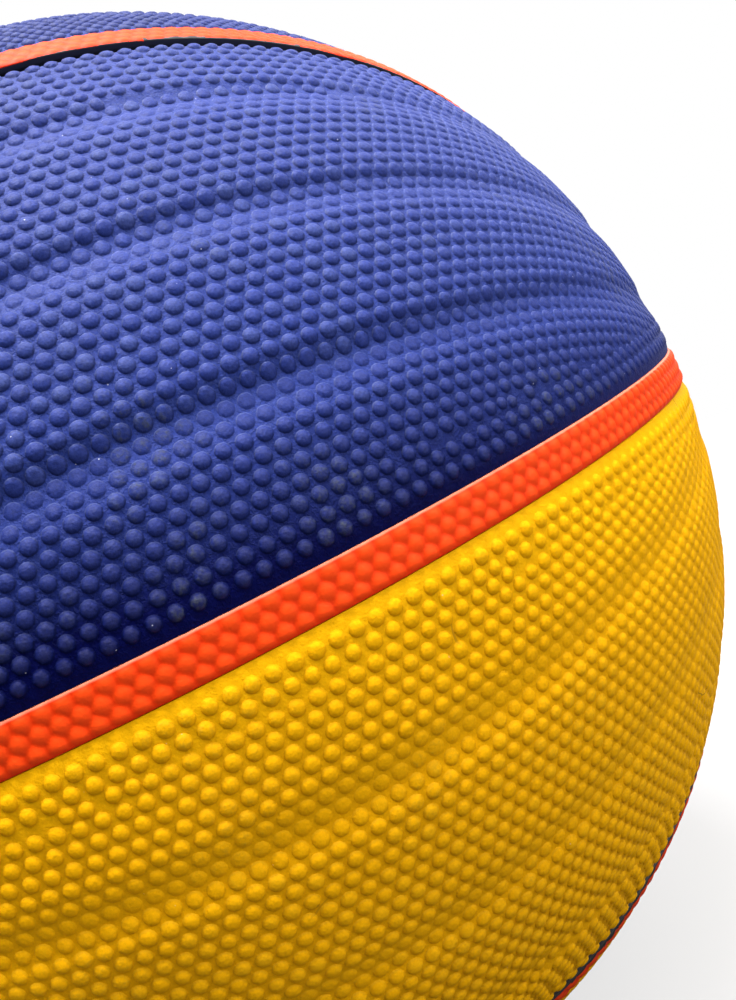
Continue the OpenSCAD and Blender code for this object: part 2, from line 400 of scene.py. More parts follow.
# triangles between points on the ball: a flat Delaunay net of their stereographic picture,
# which is the net on the ball itself because circles stay circles
def sphereNet(n, middle, loops):
    w = unit(np.array(middle))
    u = unit(np.cross((0.0, 0.0, 1.0) if abs(w[2]) < 0.9 else (0.0, 1.0, 0.0), w))
    v = np.cross(w, u)
    flat = np.stack([n @ u, n @ v], -1) / (1 + n @ w)[:, None]
    edges = [(int(a), int(b)) for loop in loops for a, b in zip(loop, np.roll(loop, -1))]
    net = delaunay_2d_cdt([Vector(p) for p in flat], edges, [], 1 if loops else 0, 1e-9)
    back = np.array([source[0] for source in net[3]])
    tri = back[np.array(net[2])]
    a, b, c = (flat[tri[:, i]] for i in range(3))
    area = (b[:, 0] - a[:, 0]) * (c[:, 1] - a[:, 1]) - (b[:, 1] - a[:, 1]) * (c[:, 0] - a[:, 0])
    tri[area < 0] = tri[area < 0][:, ::-1]
    return tri


# without the later one of each pair of pebbles that are closer than a share of the pitch
def thinned(kind, n, share):
    far = arc(n @ n.T) + 9 * np.eye(len(n))
    i, j = np.nonzero(far < share * pebblePitch(kind, n)[:, None])
    return np.delete(n, j[i < j], axis=0)


# all steps: pebbles that stay squeezed between two rows are taken out, and one is put in the middle of
# each net triangle whose corners stand too far from it
def pebbleSpots(kind, seed):
    n = relaxed(kind, pebbleSeeds(kind, seed))
    n = relaxed(kind, thinned(kind, n, cover["squeezed"]))
    for turn in range(cover["fillRounds"]):
        tri = sphereNet(n, kind["middle"], [])
        a, b, c = (n[tri[:, k]] for k in range(3))
        heart = unit(np.cross(b - a, c - a))
        wide = arc((heart * a).sum(1))
        room = np.min([wall(heart) - first for wall, first in zip(kind["walls"], kind["firstRow"])], axis=0)
        tooWide = wide > cover["tooFar"] * pebblePitch(kind, heart)
        heart = heart[tooWide & (room > -cover["fillSlack"])]
        n = relaxed(kind, thinned(kind, np.concatenate([n, heart]), cover["fillClosest"]))
    return n


# closed row of plain points at an inset from the panel's edge, anticlockwise from outside
def edgeRow(name, inset, step):
    kind = panelKinds[name]
    if name == "outer":
        cross = crossCurve(inset)
        half = len(cross) // 2
        parts = [mainCurve(inset), cross[:half], outerOvalCurve(inset), cross[half:]]
    else:
        parts = [crownOvalCurve(inset), crossCurve(inset)]
    points = []
    for part in parts:
        inside = np.min([wall(part) for wall in kind["walls"]], axis=0) > inset - cover["edgeSlack"]
        points.append(walkCurve(part[inside], evenPlaces(step)))
    return np.concatenate(points)


# object from vertices in millimetres, with values per vertex, sharp edges and a material slot per face
def meshObject(name, vertices, faces, materials, attributes=(), sharp=None, slots=None):
    mesh = bpy.data.meshes.new(name)
    mesh.from_pydata((vertices * mm).tolist(), [], faces)
    mesh.update()
    mesh.shade_smooth()
    for title, values in attributes:
        layer = mesh.attributes.new(title, "FLOAT", "POINT")
        layer.data.foreach_set("value", np.asarray(values, dtype=np.float32))
    if sharp is not None:
        ends = np.empty(len(mesh.edges) * 2, dtype=np.int32)
        mesh.edges.foreach_get("vertices", ends)
        layer = mesh.attributes.new("sharp_edge", "BOOLEAN", "EDGE")
        layer.data.foreach_set("value", sharp(ends[0::2], ends[1::2]))
    for material in materials:
        mesh.materials.append(material)
    if slots is not None:
        mesh.polygons.foreach_set("material_index", np.asarray(slots, dtype=np.int32))
    made = bpy.data.objects.new(name, mesh)
    bpy.context.scene.collection.objects.link(made)
    return made


patterns = {name: pebbleSpots(kind, cover["seed"]) for name, kind in panelKinds.items()}
print("pebbles placed:", {name: len(n) for name, n in patterns.items()})


# the axis of the valve's hole, and rings of points round it, each at an angle width / R from the axis
def valveRings(signs):
    tilt = math.radians(valve["angle"])
    axis = np.array([0.0, math.cos(tilt), -math.sin(tilt)]) * signs
    side = np.cross(axis, (1.0, 0.0, 0.0))
    turn = np.linspace(0, 2 * math.pi, valve["ringPoints"], endpoint=False)[:, None]
    rings = []
    for step in valve["ringSteps"]:
        wide = valve["holeRadius"] + step
        ring = (np.cos(turn) * (1.0, 0.0, 0.0) + np.sin(turn) * side) * wide / ballR
        rings.append(unit(axis * math.cos(wide / ballR) + ring))
    return axis, rings


# cover panel: each pebble is a small dome on a ring that follows its neighbours, the ground is netted
# between the rings, and a wall and an inner skin close the shell
def coverPanel(name, kindName, signs, material, deep, seed, hole=False):
    kind = panelKinds[kindName]
    signs = np.array(signs, dtype=float)
    rng = np.random.default_rng(seed)
    spots = patterns[kindName]
    rows = [edgeRow(kindName, inset, cover["edgeStep"]) for inset in cover["edgeRows"]]
    holeRows = []
    if hole:
        axis, holeRows = valveRings(signs)
        spots = spots[arc(spots @ axis) > valve["smoothRadius"]]
    spotCount = len(spots)
    point = np.concatenate([spots] + rows + holeRows)
    total = len(point)
    loops = [spotCount + np.arange(len(rows[0]))]
    if hole:
        start = spotCount + sum(len(row) for row in rows)
        loops.append(start + np.arange(len(holeRows[0])))
    tri = sphereNet(point, kind["middle"], loops)
    if hole:
        centre = unit(point[tri].sum(1))
        inHole = np.isin(tri, loops[1]).all(1)
        away = arc(centre @ axis)
        tri = tri[~inHole & (away > valve["holeRadius"] * valve["clearShare"])]

    # a ring vertex faces each neighbour (edge) and each net triangle (corner)
    radius = np.zeros(total)
    radius[:spotCount] = cover["pebbleShare"] * pebblePitch(kind, spots)
    radius[:spotCount] *= 1 + cover["pebbleSpread"] * rng.uniform(-1, 1, spotCount)
    i, j, k = tri.ravel(), np.roll(tri, -1, axis=1).ravel(), np.roll(tri, 1, axis=1).ravel()
    keys = np.concatenate([i * total + j, i * total + k])
    edgeKeys, edgeIndex = np.unique(keys, return_inverse=True)
    start, end = edgeKeys // total, edgeKeys % total
    towards = unit(point[end] - point[start] * (point[start] * point[end]).sum(1, keepdims=True))
    room = arc((point[start] * point[end]).sum(1))
    room = room * np.where(radius[end] > 0, *cover["mostReach"])
    limit = np.full(total, np.inf)
    np.minimum.at(limit, start, room)
    radius = np.minimum(radius, limit)
    ij, ik = edgeIndex[:len(i)], edgeIndex[len(i):]
    between = unit(towards[ij] + towards[ik])
    across = np.cross(point[j] - point[i], point[k] - point[i])
    toSide = np.linalg.norm(across, axis=1) / np.linalg.norm(point[k] - point[j], axis=1) * ballR
    # no corner reaches over the far side of its triangle
    cornerRadius = np.minimum(radius[i], cover["cornerReach"] * toSide)

    def ringPoint(centre, direction, wide):
        angle = (wide / ballR)[:, None]
        return point[centre] * np.cos(angle) + direction * np.sin(angle)

    raised = (radius > 0).astype(float)
    blocks = [point, ringPoint(i, between, cornerRadius)]
    owner = [np.arange(total), i]
    lift = [raised, 0 * radius[i]]
    for share in cover["rings"]:
        blocks.append(ringPoint(start, towards, radius[start] * share))
        owner.append(start)
        lift.append(raised[start] * (1 - share ** 5))
    first = np.concatenate([[0], np.cumsum([len(b) for b in blocks])])
    direction, owner, lift = (np.concatenate(each) for each in (blocks, owner, lift))
    flatten = kept(kind, point)
    height = cover["pebbleHeight"] * flatten[owner] * lift
    outer = direction * (groundRadius(kind, direction, deep) + height)[:, None]
    inner = point * innerR

    plain = radius == 0
    corner = np.where(plain[i], i, first[1] + np.arange(len(i)))
    a1 = np.where(plain[i], i, first[2] + ij)
    a2 = np.where(plain[i], i, first[2] + ik)
    a1Mid, a2Mid, a1Top, a2Top = first[3] + ij, first[3] + ik, first[4] + ij, first[4] + ik
    facing = np.where(plain[j], j, first[2] + np.searchsorted(edgeKeys, j * total + i))
    cornerNext = np.roll(corner.reshape(-1, 3), -1, axis=1).ravel()
    bump = ~plain[i]
    quads = np.stack([a1Mid, a2Mid, a2Top, a1Top], -1)[bump]
    tris = np.concatenate([
        corner.reshape(-1, 3),
        np.stack([corner, a1, facing], -1)[bump],
        np.stack([corner, facing, cornerNext], -1)[~plain[j]],
        np.stack([a1, corner, a1Mid], -1)[bump],
        np.stack([corner, a2, a2Mid], -1)[bump],
        np.stack([corner, a2Mid, a1Mid], -1)[bump],
        np.stack([a1Top, a2Top, i], -1)[bump],
    ])

    innerStart = len(outer)
    walls = []
    for loop, turnBack in zip(loops, (False, True)):
        ahead = np.roll(loop, -1)
        wall = np.stack([loop, loop + innerStart, ahead + innerStart, ahead], -1)
        walls.append(wall[:, ::-1] if turnBack else wall)
    quads = np.concatenate([quads] + walls)
    tris = np.concatenate([tris, (tri + innerStart)[:, ::-1]])
    vertices = np.concatenate([outer, inner]) * signs
    if signs.prod() < 0:
        quads, tris = quads[:, ::-1], tris[:, ::-1]

    used = np.zeros(len(vertices), dtype=bool)
    used[quads] = True
    used[tris] = True
    order = np.cumsum(used) - 1
    faces = order[quads].tolist() + order[tris].tolist()
    pad = np.zeros(total)
    tint = rng.uniform(0, 1, total) * raised * flatten
    # which side of a pebble faces up, for the painted highlight at its upper foot
    rise = np.array((0.0, 0.0, signs[2])) - point * (point[:, 2:] * signs[2])
    rim = ((direction - point[owner]) * unit(rise)[owner]).sum(1) * ballR / np.maximum(radius[owner], 1e-6)
    rim = np.clip(rim, 0, 1) * (lift < 0.9) * raised[owner]
    fields = {
        "lift": lift,
        "tint": tint[owner],
        # amount of painted shade beside the main seam, even on a crown panel
        "near": paintedSeamShade(kind, direction),
        # how strongly a pebble's flank takes its painted shade
        "crease": flatten[owner] ** 2,
        "rim": rim,
    }
    attributes = [(title, np.concatenate([values, pad])[used]) for title, values in fields.items()]
    onRing = np.concatenate([(radius[owner] > 0) & (lift == 0), np.zeros(total, dtype=bool)])[used]
    rimVertex = np.zeros(len(vertices), dtype=bool)
    for loop in loops:
        rimVertex[loop] = True
        rimVertex[loop + innerStart] = True
    rimVertex = rimVertex[used]
    owner = np.concatenate([owner, np.arange(total)])[used]

    def isSharp(a, b):
        return (onRing[a] & onRing[b] & (owner[a] == owner[b])) | (rimVertex[a] & rimVertex[b])

    return meshObject(name, vertices[used], faces, [material], attributes, isSharp)


# strips laid into the seams
strip = {
    "topDrop": {"main": 0.6, "oval": 0.25},  # of the strip's ground below the ball's radius
    "bumpPitch": 2.62,
    "bumpHeight": {"main": 0.42, "oval": 0.3},
    "rows": (-2.1, -0.08, 1.94),
    "bumpRadius": 1.44,
    "edgeRound": 0.2,
    "edgeTurns": (90, 67, 45, 22),  # degrees at which the rounding has its points
    "samples": 8,  # along the strip, for each bump
    "topPoints": 23,  # across it
    "flankShare": 0.45,  # height of the point on a flank
    "fadeFrom": 0.15,  # the bumps rise from this far inside the edge
    "fadeWidth": 0.45,
    "endGap": 0.1,  # between a strip's end and the strip that it meets
    "shortMost": 0.9,  # by which the orange of an oval strip stops short of the edge
    "shortRun": 40,  # points along the strip that share one such width
    "shortLess": 0.12,  # taken off it
    "waves": ((0.12, 7.3, 0.0), (0.08, 1.7, 1.0)),  # heights, lengths and phases of the waves added to it
    "seed": 3,
    "paleEdge": 0.5,
# width of the painted highlight along the strip's edge
}


# height of the strip's bumps: 1 - d^1.8, with d the distance from the nearest bump's middle in bump radii
def stripBumps(along, across):
    total = np.zeros_like(along + across)
    for number, row in enumerate(strip["rows"]):
        phase = along / strip["bumpPitch"] + 0.5 * (number % 2)
        ds = (phase - np.round(phase)) * strip["bumpPitch"]
        far = np.clip(np.hypot(ds, across - row) / strip["bumpRadius"], 0, 1)
        total = np.maximum(total, 1 - far ** 1.8)
    return total


# profile carried along a seam: the outline goes up one flank, over the top and down the other
def seamStrip(name, curve, length, closed, signs, materials, blackFlank):
    signs = np.array(signs, dtype=float)
    half = stripHalf
    bumps = max(1, round(length / strip["bumpPitch"]))
    count = bumps * strip["samples"]
    along = np.arange(count if closed else count + 1) / count * length
    kind = "oval" if blackFlank else "main"
    height = strip["bumpHeight"][kind]
    top = ballR - strip["topDrop"][kind]
    bevel = strip["edgeRound"]
    turn = np.radians(strip["edgeTurns"])
    edgeW = half - bevel + bevel * np.sin(turn)
    edgeR = top - bevel + bevel * np.cos(turn)
    flat = np.linspace(half - bevel, bevel - half, strip["topPoints"])
    flank = np.array([innerR, innerR + strip["flankShare"] * (top - innerR)])
    across = np.concatenate([[half, half], edgeW, flat, -edgeW[::-1], [-half, -half]])
    level = np.concatenate([flank, edgeR, 0 * flat + top, edgeR[::-1], flank[::-1]])
    s, w = np.meshgrid(along, across, indexing="ij")
    bump = stripBumps(s * bumps * strip["bumpPitch"] / length, w)
    fade = np.clip((half - np.abs(w) - strip["fadeFrom"]) / strip["fadeWidth"], 0, 1)
    onTop = level >= top - 1e-9
    r = level[None, :] + height * bump * fade * onTop[None, :]
    n = curve(s.ravel(), w.ravel()).reshape(len(along), len(across), 3)
    vertices = (n * r[..., None]).reshape(-1, 3) * signs
    rows, cols = len(along), len(across)
    grid = np.arange(rows * cols).reshape(rows, cols)
    ahead = np.roll(grid, -1, axis=0) if closed else grid[1:]
    here = grid if closed else grid[:-1]
    beside, besideAhead = np.roll(here, -1, axis=1), np.roll(ahead, -1, axis=1)
    quads = np.stack([here, beside, besideAhead, ahead], -1).reshape(-1, 4)
    column = np.broadcast_to(np.arange(cols), here.shape).ravel()
    slots = (column >= cols - 3).astype(int) * int(blackFlank)
    if blackFlank:  # the orange stops short of the edge, by a width that changes along the strip
        run = strip["shortRun"]
        rng = np.random.default_rng(strip["seed"])
        widths = rng.uniform(0.0, strip["shortMost"], count // run + 1)
        step = np.repeat(widths, run)[:count]
        wave = sum(high * np.sin(along / long + phase) for high, long, phase in strip["waves"])
        short = (step + wave)[:, None] > half + w + strip["shortLess"]
        slots = np.maximum(slots, short[:len(here)].ravel().astype(int))
    if signs.prod() < 0:
        quads = quads[:, ::-1]
    faces = quads.tolist()
    if not closed:
        ends = [grid[0][::-1], grid[-1]]
        faces += [(end if signs.prod() > 0 else end[::-1]).tolist() for end in ends]
        slots = np.concatenate([slots, [0, 0]])
    lift = (bump * fade * onTop[None, :]).ravel()
    # painted highlight along one edge
    edge = np.clip(1 - (half - w) / strip["paleEdge"], 0, 1).ravel()
    return meshObject(name, vertices, faces, materials, [("lift", lift), ("edge", edge)], None, slots)


# length along the oval seam turned into longitude, from the curve's own length
ovalLon = np.linspace(0, 2 * math.pi, 6001)
ovalLength = runLength(ovalPoints(ovalLon, 0.0))


# points of each seam at a length s along it and a distance w across it
def mainSeam(s, w):
    lon, lat = s / ballR, w / ballR
    return np.stack([np.cos(lat) * np.sin(lon), -np.cos(lat) * np.cos(lon), np.sin(lat)], -1)


def ovalSeam(s, w):
    return ovalPoints(np.interp(s, ovalLength, ovalLon), -w)


# cross seam in the plane Y = 0, from one turn to another, measured from +X over the crown, and its length
def crossSeam(startTurn, endTurn):
    length = (endTurn - startTurn) * ballR

    def point(s, w):
        lat = w / ballR
        turn = startTurn + (endTurn - startTurn) * (s / length)
        return np.stack([np.cos(lat) * np.cos(turn), -np.sin(lat), np.cos(lat) * np.sin(turn)], -1)
    return point, length


# turn at which the cross seam meets the oval curve grown by a distance
def ovalTurn(grow):
    axis, radius = ovalCylinder(1.0)
    return math.asin((axis - radius - grow) / ballR)


# materials
def newMaterial(name):
    material = bpy.data.materials.new(name)
    material.use_nodes = True
    tree = material.node_tree
    return material, tree, tree.nodes["Principled BSDF"]


def node(tree, kind, inputs=(), **settings):
    made = tree.nodes.new("ShaderNode" + kind)
    for key, value in settings.items():
        setattr(made, key, value)
    for key, value in dict(inputs).items():
        if isinstance(value, bpy.types.NodeSocket):
            tree.links.new(value, made.inputs[key])
        else:
            made.inputs[key].default_value = value
    return made


def attribute(tree, name):
    return node(tree, "Attribute", attribute_name=name).outputs["Fac"]


def objectSpace(tree):
    return node(tree, "TexCoord").outputs["Object"]


def calc(tree, operation, a, b=0.0, c=0.0):
    return node(tree, "Math", {0: a, 1: b, 2: c}, operation=operation).outputs[0]


def times(tree, first, *others):
    for other in others:
        first = calc(tree, "MULTIPLY", first, other)
    return first


# colours are sockets, or red, green and blue
def mixColor(tree, factor, first, second, blend="MIX"):
    a, b = ((*each, 1.0) if isinstance(each, tuple) else each for each in (first, second))
    return node(tree, "Mix", {0: factor, 6: a, 7: b}, data_type="RGBA", blend_type=blend).outputs[2]


def noise(tree, title):
    scale, detail, roughness = grains[title]
    inputs = {"Vector": objectSpace(tree), "Scale": scale, "Detail": detail, "Roughness": roughness}
    return node(tree, "TexNoise", inputs).outputs["Fac"]


# distance of a noise from its middle value, 0 along winding lines
def windingLines(tree, title):
    return calc(tree, "ABSOLUTE", calc(tree, "SUBTRACT", noise(tree, title), 0.5))


def ramp(tree, value, title, start=0.0, end=1.0):
    low, high = spans[title]
    inputs = {"Value": value, "From Min": low, "From Max": high, "To Min": start, "To Max": end}
    return node(tree, "MapRange", inputs).outputs["Result"]


# colour times 1 - share + 2 share value, so that a noise makes it lighter and darker
def toned(tree, color, value, share):
    return mixColor(tree, 1.0, color, calc(tree, "MULTIPLY_ADD", value, 2 * share, 1 - share), "MULTIPLY")


def feed(tree, shader, title, value):
    tree.links.new(value, shader.inputs[title])


def relief(tree, shader, height, strength, distance):
    bump = node(tree, "Bump", {"Height": height, "Strength": strength, "Distance": distance})
    feed(tree, shader, "Normal", bump.outputs["Normal"])


# colours of each rubber, with its painted shade and painted highlights among them
finishesAndPaintedLight = {
    "blue": {
        "ground": (0.016, 0.0318, 0.186),
        "deep": (0.0009, 0.0022, 0.048),  # painted shade on the ground and pebbles beside the main seam
        "pebble": (0.0152, 0.03, 0.178),
        "deepPebble": (0.0022, 0.0055, 0.068),
        "crease": 0.62,  # share of its colour that a pebble's flank keeps, a painted shade
        # dust on the pebbles' tops, and a painted sheen along the ground's wrinkles
        "dustAndSheen": (0.04, 0.06, 0.2),
        # painted highlight on the upward side of each pebble's foot
        "paintedFootHighlight": (0.16, 0.2, 0.42),
        "foot": 0.38,  # strength of the painted highlight at the pebbles' upper foot
        "valley": 1.0,  # share of the grooves' depth
        "dirt": (0.045, 0.052, 0.06),
        "specular": (0.17, 0.05, 0.34),  # away from the main seam; ground and pebbles' tops beside it
        "scratch": 0.0,
        "specks": 0.5,
        "grain": 0.6,
        "wrinkle": 0.3,
    },
    "yellow": {
        # ground darker than the pebbles' tops, a painted shade between them
        "ground": (0.75, 0.355, 0.0015),
        "deep": (0.78, 0.385, 0.002),
        "pebble": (0.8, 0.385, 0.002),
        "deepPebble": (0.8, 0.385, 0.002),
        "crease": 0.85,
        "dustAndSheen": (0.8, 0.41, 0.006),
        "paintedFootHighlight": (0.85, 0.5, 0.05),
        "foot": 0.15,
        "valley": 0.6,
        "dirt": (0.62, 0.32, 0.01),
        "specular": (0.03, 0.03, 0.03),
        "scratch": 0.7,
        "specks": 0.25,
        "grain": 0.16,
        "wrinkle": 0.08,
    },
    "orange": {
        # darker between the bumps than on them, a painted shade
        "ground": (0.72, 0.03, 0.001),
        "bump": (0.87, 0.062, 0.005),
        # painted highlight along one edge
        "edge": (1.0, 0.33, 0.2),
    },
    "thread": {"low": (0.5, 0.48, 0.42), "high": (0.8, 0.78, 0.7)},
}
marks = {"scratch": (0.25, 0.12, 0.01), "speck": (0.7, 0.72, 0.8)}

# noises: scale, detail and roughness
grains = {
    "soft": (28.0, 3.0, 0.5), "fine": (1500.0, 4.0, 0.65), "finest": (3200.0, 2.0, 0.7),
    "patches": (60.0, 2.0, 0.5), "wrinkles": (800.0, 3.0, 0.6),
    "scratches": (22.0, 1.0, 0.5), "scratched": (45.0, 1.0, 0.5),
    "stripSoft": (40.0, 3.0, 0.5), "stripFine": (1700.0, 4.0, 0.6), "plain": (600.0, 4.0, 0.6),
}

# where a value goes from its start to its end
spans = {
    "shade": (0.1, 0.9), "deepGround": (0.25, 0.8), "gleam": (0.5, 0.95),
    "dustAndSheen": (0.5, 1.1), "patches": (0.52, 0.68), "dirt": (0.45, 0.7),
    "flank": (0.0, 0.1), "top": (0.25, 0.65), "onGround": (0.3, 0.0),
    "footStart": (0.02, 0.12), "footEnd": (0.55, 0.25),
    "wrinkles": (0.0, 0.07), "scratched": (0.58, 0.62),
    "stripTop": (0.0, 0.8), "stripEdge": (0.2, 0.7), "rough": (0.2, 0.8),
    "floorWhite": (0.25, 0.7),  # metres from the middle
    "behind": (0.0, 0.6),
}
# amounts of wear, and of painted shade and highlight
wearAndPaintedLight = {
    "tint": 0.5,  # shares of a pebble's own tint, the fine noise and the painted shade in its dust
    "fine": 0.6,
    "shade": -0.5,
    "dirt": 0.8,
    "soft": 0.15,
    "rough": (0.5, 0.72),
    "hair": 0.0012,  # half a scratch's width, in its noise
    "cells": 400.0,
    "speckSize": 0.036,  # of a cell
    "speckless": 0.72,  # share of the cells without a speck
    # strength of the painted highlight along a strip's edge
    "stripEdge": 0.7,
    "stripSoft": 0.12,
}


# hair-thin scratches: winding lines, kept to the places where another noise is high
def scratches(tree):
    hair = calc(tree, "LESS_THAN", windingLines(tree, "scratches"), wearAndPaintedLight["hair"])
    return times(tree, hair, ramp(tree, noise(tree, "scratched"), "scratched"))


# pale specks: the middles of some of a scatter of cells
def paleSpecks(tree):
    cells = node(tree, "TexVoronoi", {"Vector": objectSpace(tree), "Scale": wearAndPaintedLight["cells"]})
    draw = node(tree, "SeparateColor", {0: cells.outputs["Color"]}).outputs[0]
    inMiddle = calc(tree, "LESS_THAN", cells.outputs["Distance"], wearAndPaintedLight["speckSize"])
    return times(tree, inMiddle, calc(tree, "GREATER_THAN", draw, wearAndPaintedLight["speckless"]))


# pebbled rubber: ground colour between the pebbles, another on their tops, painted shade and highlights,
# dust, specks, scratches and grain
def pebbledRubber(name, finish):
    material, tree, shader = newMaterial(name)
    titles = ("lift", "tint", "near", "crease", "rim")
    lift, tint, near, crease, rim = (attribute(tree, title) for title in titles)
    soft, fine, finest = (noise(tree, title) for title in ("soft", "fine", "finest"))
    # painted shade beside the main seam and on the crown panels
    shade = ramp(tree, near, "shade")
    lit = calc(tree, "SUBTRACT", 1.0, shade)
    deep = ramp(tree, near, "deepGround")
    ground = mixColor(tree, deep, finish["ground"], finish["deep"])
    pebble = mixColor(tree, shade, finish["pebble"], finish["deepPebble"])

    # painted shade on the flanks, with dust and dirt on the tops
    worn = calc(tree, "MULTIPLY_ADD", tint, wearAndPaintedLight["tint"], times(tree, fine, wearAndPaintedLight["fine"]))
    worn = calc(tree, "MULTIPLY_ADD", shade, wearAndPaintedLight["shade"], worn)
    top = mixColor(tree, ramp(tree, worn, "dustAndSheen"), pebble, finish["dustAndSheen"])
    patches = ramp(tree, noise(tree, "patches"), "patches")
    dirty = times(tree, patches, ramp(tree, fine, "dirt"), wearAndPaintedLight["dirt"])
    top = mixColor(tree, dirty, top, finish["dirt"])
    darker = mixColor(tree, 1.0, pebble, (finish["crease"],) * 3, "MULTIPLY")
    flank = mixColor(tree, crease, pebble, darker)
    color = mixColor(tree, ramp(tree, lift, "flank"), ground, flank)
    color = mixColor(tree, ramp(tree, lift, "top"), color, top)

    # painted highlight at the pebbles' upper foot, and pale wrinkles on the ground, painted highlights on
    # their ridges
    onFoot = times(tree, ramp(tree, lift, "footStart"), ramp(tree, lift, "footEnd"))
    color = mixColor(tree, times(tree, onFoot, rim, finish["foot"], lit), color, finish["paintedFootHighlight"])
    ridge = calc(tree, "SUBTRACT", 1.0, ramp(tree, windingLines(tree, "wrinkles"), "wrinkles"))
    ridge = times(tree, ridge, ramp(tree, lift, "onGround"))
    # painted highlights along the wrinkles' ridges
    color = mixColor(tree, times(tree, ridge, finish["wrinkle"], lit), color, finish["dustAndSheen"])

    # soft and fine changes of tone, scratches and specks
    color = toned(tree, toned(tree, color, soft, wearAndPaintedLight["soft"]), finest, finish["grain"])
    color = mixColor(tree, times(tree, scratches(tree), finish["scratch"]), color, marks["scratch"])
    color = mixColor(tree, times(tree, paleSpecks(tree), finish["specks"]), color, marks["speck"])
    feed(tree, shader, "Base Color", color)
    feed(tree, shader, "Roughness", ramp(tree, fine, "rough", *wearAndPaintedLight["rough"]))
    relief(tree, shader, calc(tree, "MULTIPLY_ADD", ridge, finish["wrinkle"], fine), 0.9, 0.0002)
    even, low, high = finish["specular"]
    beside = ramp(tree, lift, "gleam", low, high)
    gleam = node(tree, "Mix", {0: shade, 2: even, 3: beside}).outputs[0]
    feed(tree, shader, "Specular IOR Level", gleam)
    return material


# strip rubber: lighter on the bumps and darker between them, a painted shade, with a painted highlight along
# one edge
def stripRubber(name, finish):
    material, tree, shader = newMaterial(name)
    soft, fine = noise(tree, "stripSoft"), noise(tree, "stripFine")
    high = ramp(tree, attribute(tree, "lift"), "stripTop")
    color = mixColor(tree, high, finish["ground"], finish["bump"])
    pale = times(tree, ramp(tree, attribute(tree, "edge"), "stripEdge"), wearAndPaintedLight["stripEdge"])
    color = mixColor(tree, pale, color, finish["edge"])
    feed(tree, shader, "Base Color", toned(tree, color, soft, wearAndPaintedLight["stripSoft"]))
    shader.inputs["Roughness"].default_value = 0.55
    shader.inputs["Specular IOR Level"].default_value = 0.12
    relief(tree, shader, fine, 0.7, 0.00012)
    return material


# plain rubber: a colour that varies a little, with fine grain
def plainRubber(name, color, roughness):
    material, tree, shader = newMaterial(name)
    fine = noise(tree, "plain")
    light = tuple(min(1.0, c * 1.35 + 0.004) for c in color)
    feed(tree, shader, "Base Color", mixColor(tree, fine, color, light))
    shader.inputs["Roughness"].default_value = roughness
    relief(tree, shader, fine, 0.3, 0.00004)
    return material


# wound thread: the highest of three sets of waves that run in different directions
def threadLayer(name, finish):
    material, tree, shader = newMaterial(name)
    high = None
    for turn in ((0.0, 0.0, 0.0), (1.1, 0.0, 0.4), (0.3, 1.2, 0.0)):
        turned = node(tree, "Mapping", {"Vector": objectSpace(tree), "Rotation": turn}).outputs["Vector"]
        inputs = {"Vector": turned, "Scale": 420.0, "Distortion": 1.5, "Detail": 1.0}
        wave = node(tree, "TexWave", inputs).outputs["Fac"]
        high = wave if high is None else calc(tree, "MAXIMUM", high, wave)
    feed(tree, shader, "Base Color", mixColor(tree, high, finish["low"], finish["high"]))
    shader.inputs["Roughness"].default_value = 0.7
    relief(tree, shader, high, 0.6, 0.0002)
    return material


blueRubber = pebbledRubber("blueRubber", finishesAndPaintedLight["blue"])
yellowRubber = pebbledRubber("yellowRubber", finishesAndPaintedLight["yellow"])
orangeRubber = stripRubber("orangeRubber", finishesAndPaintedLight["orange"])
blackRubber = plainRubber("blackRubber", (0.006, 0.006, 0.008), 0.5)
bladderRubber = plainRubber("bladderRubber", (0.02, 0.02, 0.022), 0.4)
valveRubber = plainRubber("valveRubber", (0.014, 0.014, 0.016), 0.45)
nylonThread = threadLayer("nylonThread", finishesAndPaintedLight["thread"])
print("materials made")

# each panel's kind, and its mirror signs from the upper front quarter
panels = {
    "blue_front_outer_panel": ("outer", (1, 1, 1)),
    "blue_back_outer_panel": ("outer", (-1, -1, 1)),
    "blue_front_crown_panel": ("crown", (1, 1, 1)),
    "blue_back_crown_panel": ("crown", (-1, -1, 1)),
    "yellow_front_outer_panel": ("outer", (-1, 1, -1)),
    "yellow_back_outer_panel": ("outer", (1, -1, -1)),
    "yellow_front_crown_panel": ("crown", (-1, 1, -1)),
    "yellow_back_crown_panel": ("crown", (1, -1, -1)),
}
for number, (nodeName, (kindName, signs)) in enumerate(panels.items()):
    blue = nodeName.startswith("blue")
    rubber = blueRubber if blue else yellowRubber
    deep = finishesAndPaintedLight["blue" if blue else "yellow"]["valley"]
    hole = nodeName == "yellow_back_outer_panel"
    piece = coverPanel(nodeName + "_pebbled", kindName, signs, rubber, deep, number, hole)
    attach(piece, "root")
    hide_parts(nodeName)
    print(nodeName, len(piece.data.polygons), "faces")

